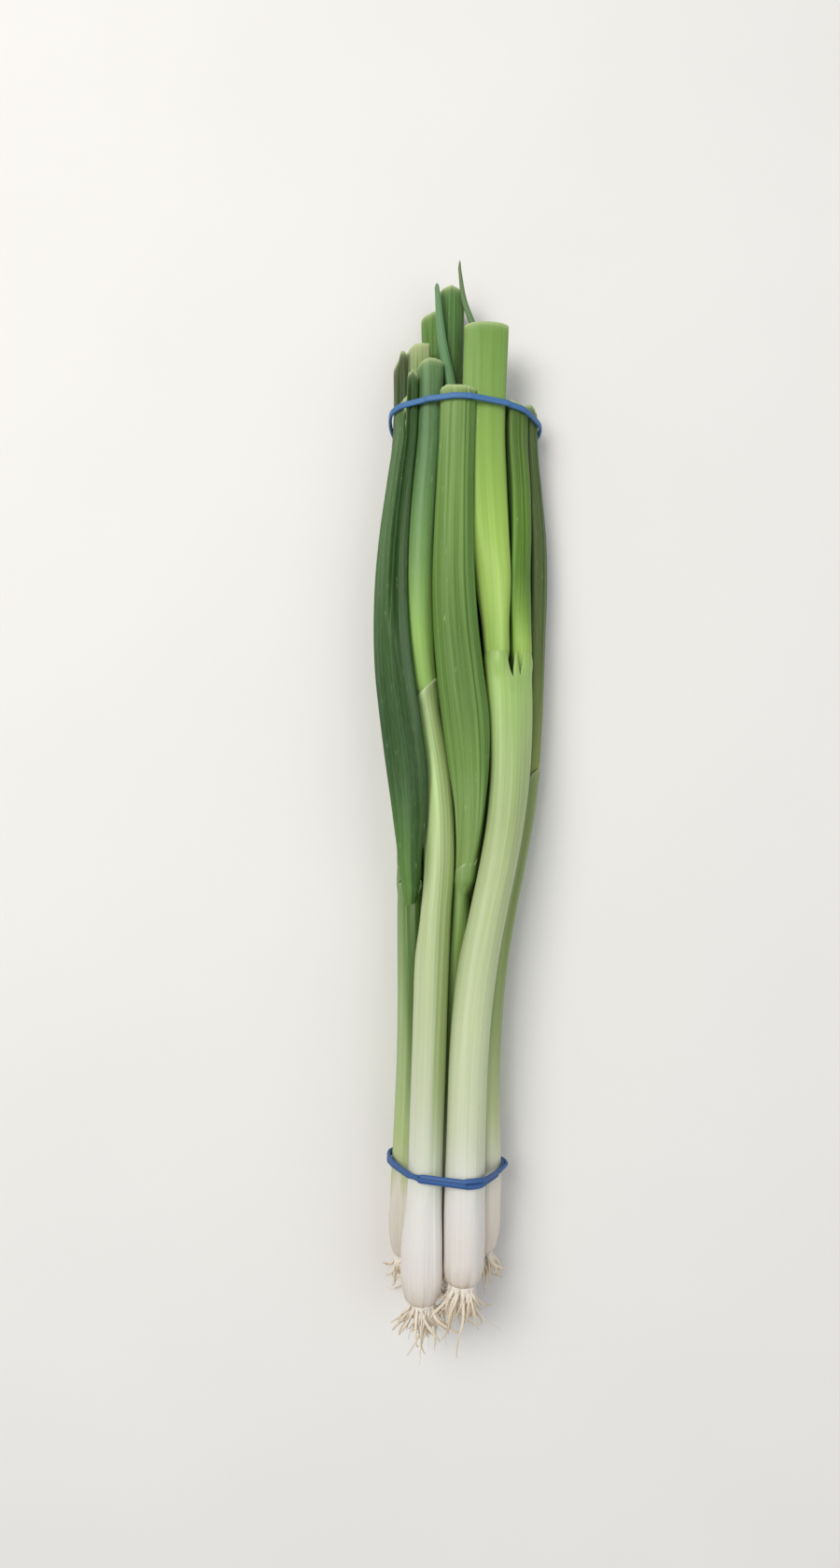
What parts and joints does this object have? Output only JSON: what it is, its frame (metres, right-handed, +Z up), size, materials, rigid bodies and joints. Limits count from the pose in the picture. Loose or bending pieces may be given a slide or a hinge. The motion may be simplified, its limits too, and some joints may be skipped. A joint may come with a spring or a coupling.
{
  "type": "bunch of spring onions",
  "caption": "Tied bunch of spring onions lying flat: white shanks with root tufts at one end, trimmed green leaves at the other, held together by rubber bands.",
  "frame": {"origin": "on the table, under the middle of the bunch's bounding box", "axes": "+Y along the bunch from the roots to the leaf tips, +Z up from the table it lies on, +X across it"},
  "size_m": [0.0516, 0.3236, 0.0307],
  "materials": {
    "shank": "moist skin, satin, white at the foot and pale green above",
    "roots": "dry fibrous roots, matte",
    "mid_leaf": "ribbed leaf skin, satin with a thin waxy bloom",
    "bright_leaf": "young yellow-green leaf skin, satin",
    "pale_leaf": "pale yellowish leaf skin, satin",
    "dark_leaf": "dark blue-green leaf skin with a waxy bloom",
    "rubber_band": "blue natural rubber, matte"
  },
  "bodies": {
    "root": {"onion_1_shank": "shank", "onion_1_roots": "roots", "onion_1_tube_leaf": "mid_leaf", "onion_1_pale_leaf": "pale_leaf", "onion_2_shank": "shank", "onion_2_roots": "roots", "onion_2_bright_leaf": "bright_leaf", "onion_2_side_leaf": "mid_leaf", "onion_3_shank": "shank", "onion_3_roots": "roots", "onion_3_dark_leaf": "dark_leaf", "onion_3_edge_leaf": "dark_leaf", "onion_4_shank": "shank", "onion_4_roots": "roots", "onion_4_front_leaf": "mid_leaf", "onion_4_long_leaf": "mid_leaf", "onion_4_tip_leaf": "dark_leaf", "onion_5_shank": "shank", "onion_5_roots": "roots", "onion_5_edge_leaf": "dark_leaf", "onion_5_inner_leaf": "mid_leaf", "onion_5_tip_leaf": "dark_leaf", "onion_6_shank": "shank", "onion_6_roots": "roots", "onion_6_under_leaf": "mid_leaf", "onion_6_long_leaf": "mid_leaf", "onion_7_shank": "shank", "onion_7_roots": "roots", "onion_7_long_leaf": "mid_leaf", "onion_7_under_leaf": "mid_leaf", "lower_rubber_band": "rubber_band", "upper_rubber_band": "rubber_band"}
  },
  "joints": []
}
